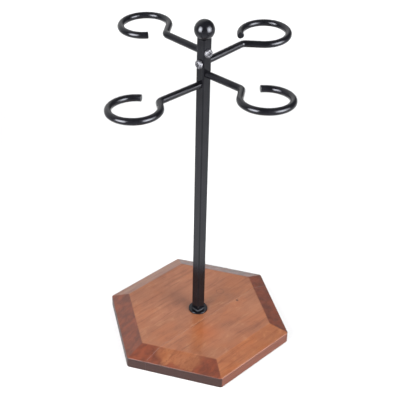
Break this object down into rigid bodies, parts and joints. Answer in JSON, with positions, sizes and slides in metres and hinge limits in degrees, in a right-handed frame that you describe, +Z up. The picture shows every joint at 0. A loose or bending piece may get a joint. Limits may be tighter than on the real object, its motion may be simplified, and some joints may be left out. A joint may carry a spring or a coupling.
{
  "type": "mug tree",
  "caption": "Counter-top mug tree: open rings on bent rod arms, screwed at stepped heights to a square black steel post on a bevelled hexagonal wooden base.",
  "frame": {"origin": "centre of the resting surface, on the post's axis", "axes": "+Z up the post; the arms point along -X, +Y, +X and -Y, from the top one down; the wood's grain runs along Y"},
  "size_m": [0.2577, 0.2587, 0.4339],
  "materials": {
    "stained_wood": "satin stain and lacquer",
    "black_steel": "semi-gloss black powder coat",
    "zinc_steel": "bright zinc plate",
    "foot_rubber": "matt"
  },
  "bodies": {
    "stand": {"base_board_wide": "stained_wood", "base_board_narrow": "stained_wood", "post_tube": "black_steel", "finial_ball": "black_steel", "foot_flange": "black_steel", "foot_plug": "black_steel", "base_washer": "zinc_steel", "base_spring_washer": "zinc_steel", "base_bolt": "zinc_steel", "foot_pad_1": "foot_rubber", "foot_pad_2": "foot_rubber", "foot_pad_3": "foot_rubber", "foot_pad_4": "foot_rubber", "foot_pad_5": "foot_rubber", "foot_pad_6": "foot_rubber"},
    "back_left_arm": {"arm_back_left": "black_steel", "arm_screw_back_left": "zinc_steel"},
    "back_right_arm": {"arm_back_right": "black_steel", "arm_screw_back_right": "zinc_steel"},
    "front_right_arm": {"arm_front_right": "black_steel", "arm_screw_front_right": "zinc_steel"},
    "front_left_arm": {"arm_front_left": "black_steel", "arm_screw_front_left": "zinc_steel"}
  },
  "joints": [
    {"name": "back_left_swivel", "type": "hinge", "parent": "stand", "child": "back_left_arm", "pos_m": [0, 0, 0.3967], "axis": [-1, 0, -0.0026], "range_deg": [-180, 180]},
    {"name": "back_right_swivel", "type": "hinge", "parent": "stand", "child": "back_right_arm", "pos_m": [0, 0, 0.384], "axis": [0, 0.9978, 0.0663], "range_deg": [-180, 180]},
    {"name": "front_right_swivel", "type": "hinge", "parent": "stand", "child": "front_right_arm", "pos_m": [0, 0, 0.3713], "axis": [0.9995, 0, 0.0332], "range_deg": [-180, 180]},
    {"name": "front_left_swivel", "type": "hinge", "parent": "stand", "child": "front_left_arm", "pos_m": [0, 0, 0.3586], "axis": [0, -1, -0.0035], "range_deg": [-180, 180]}
  ]
}
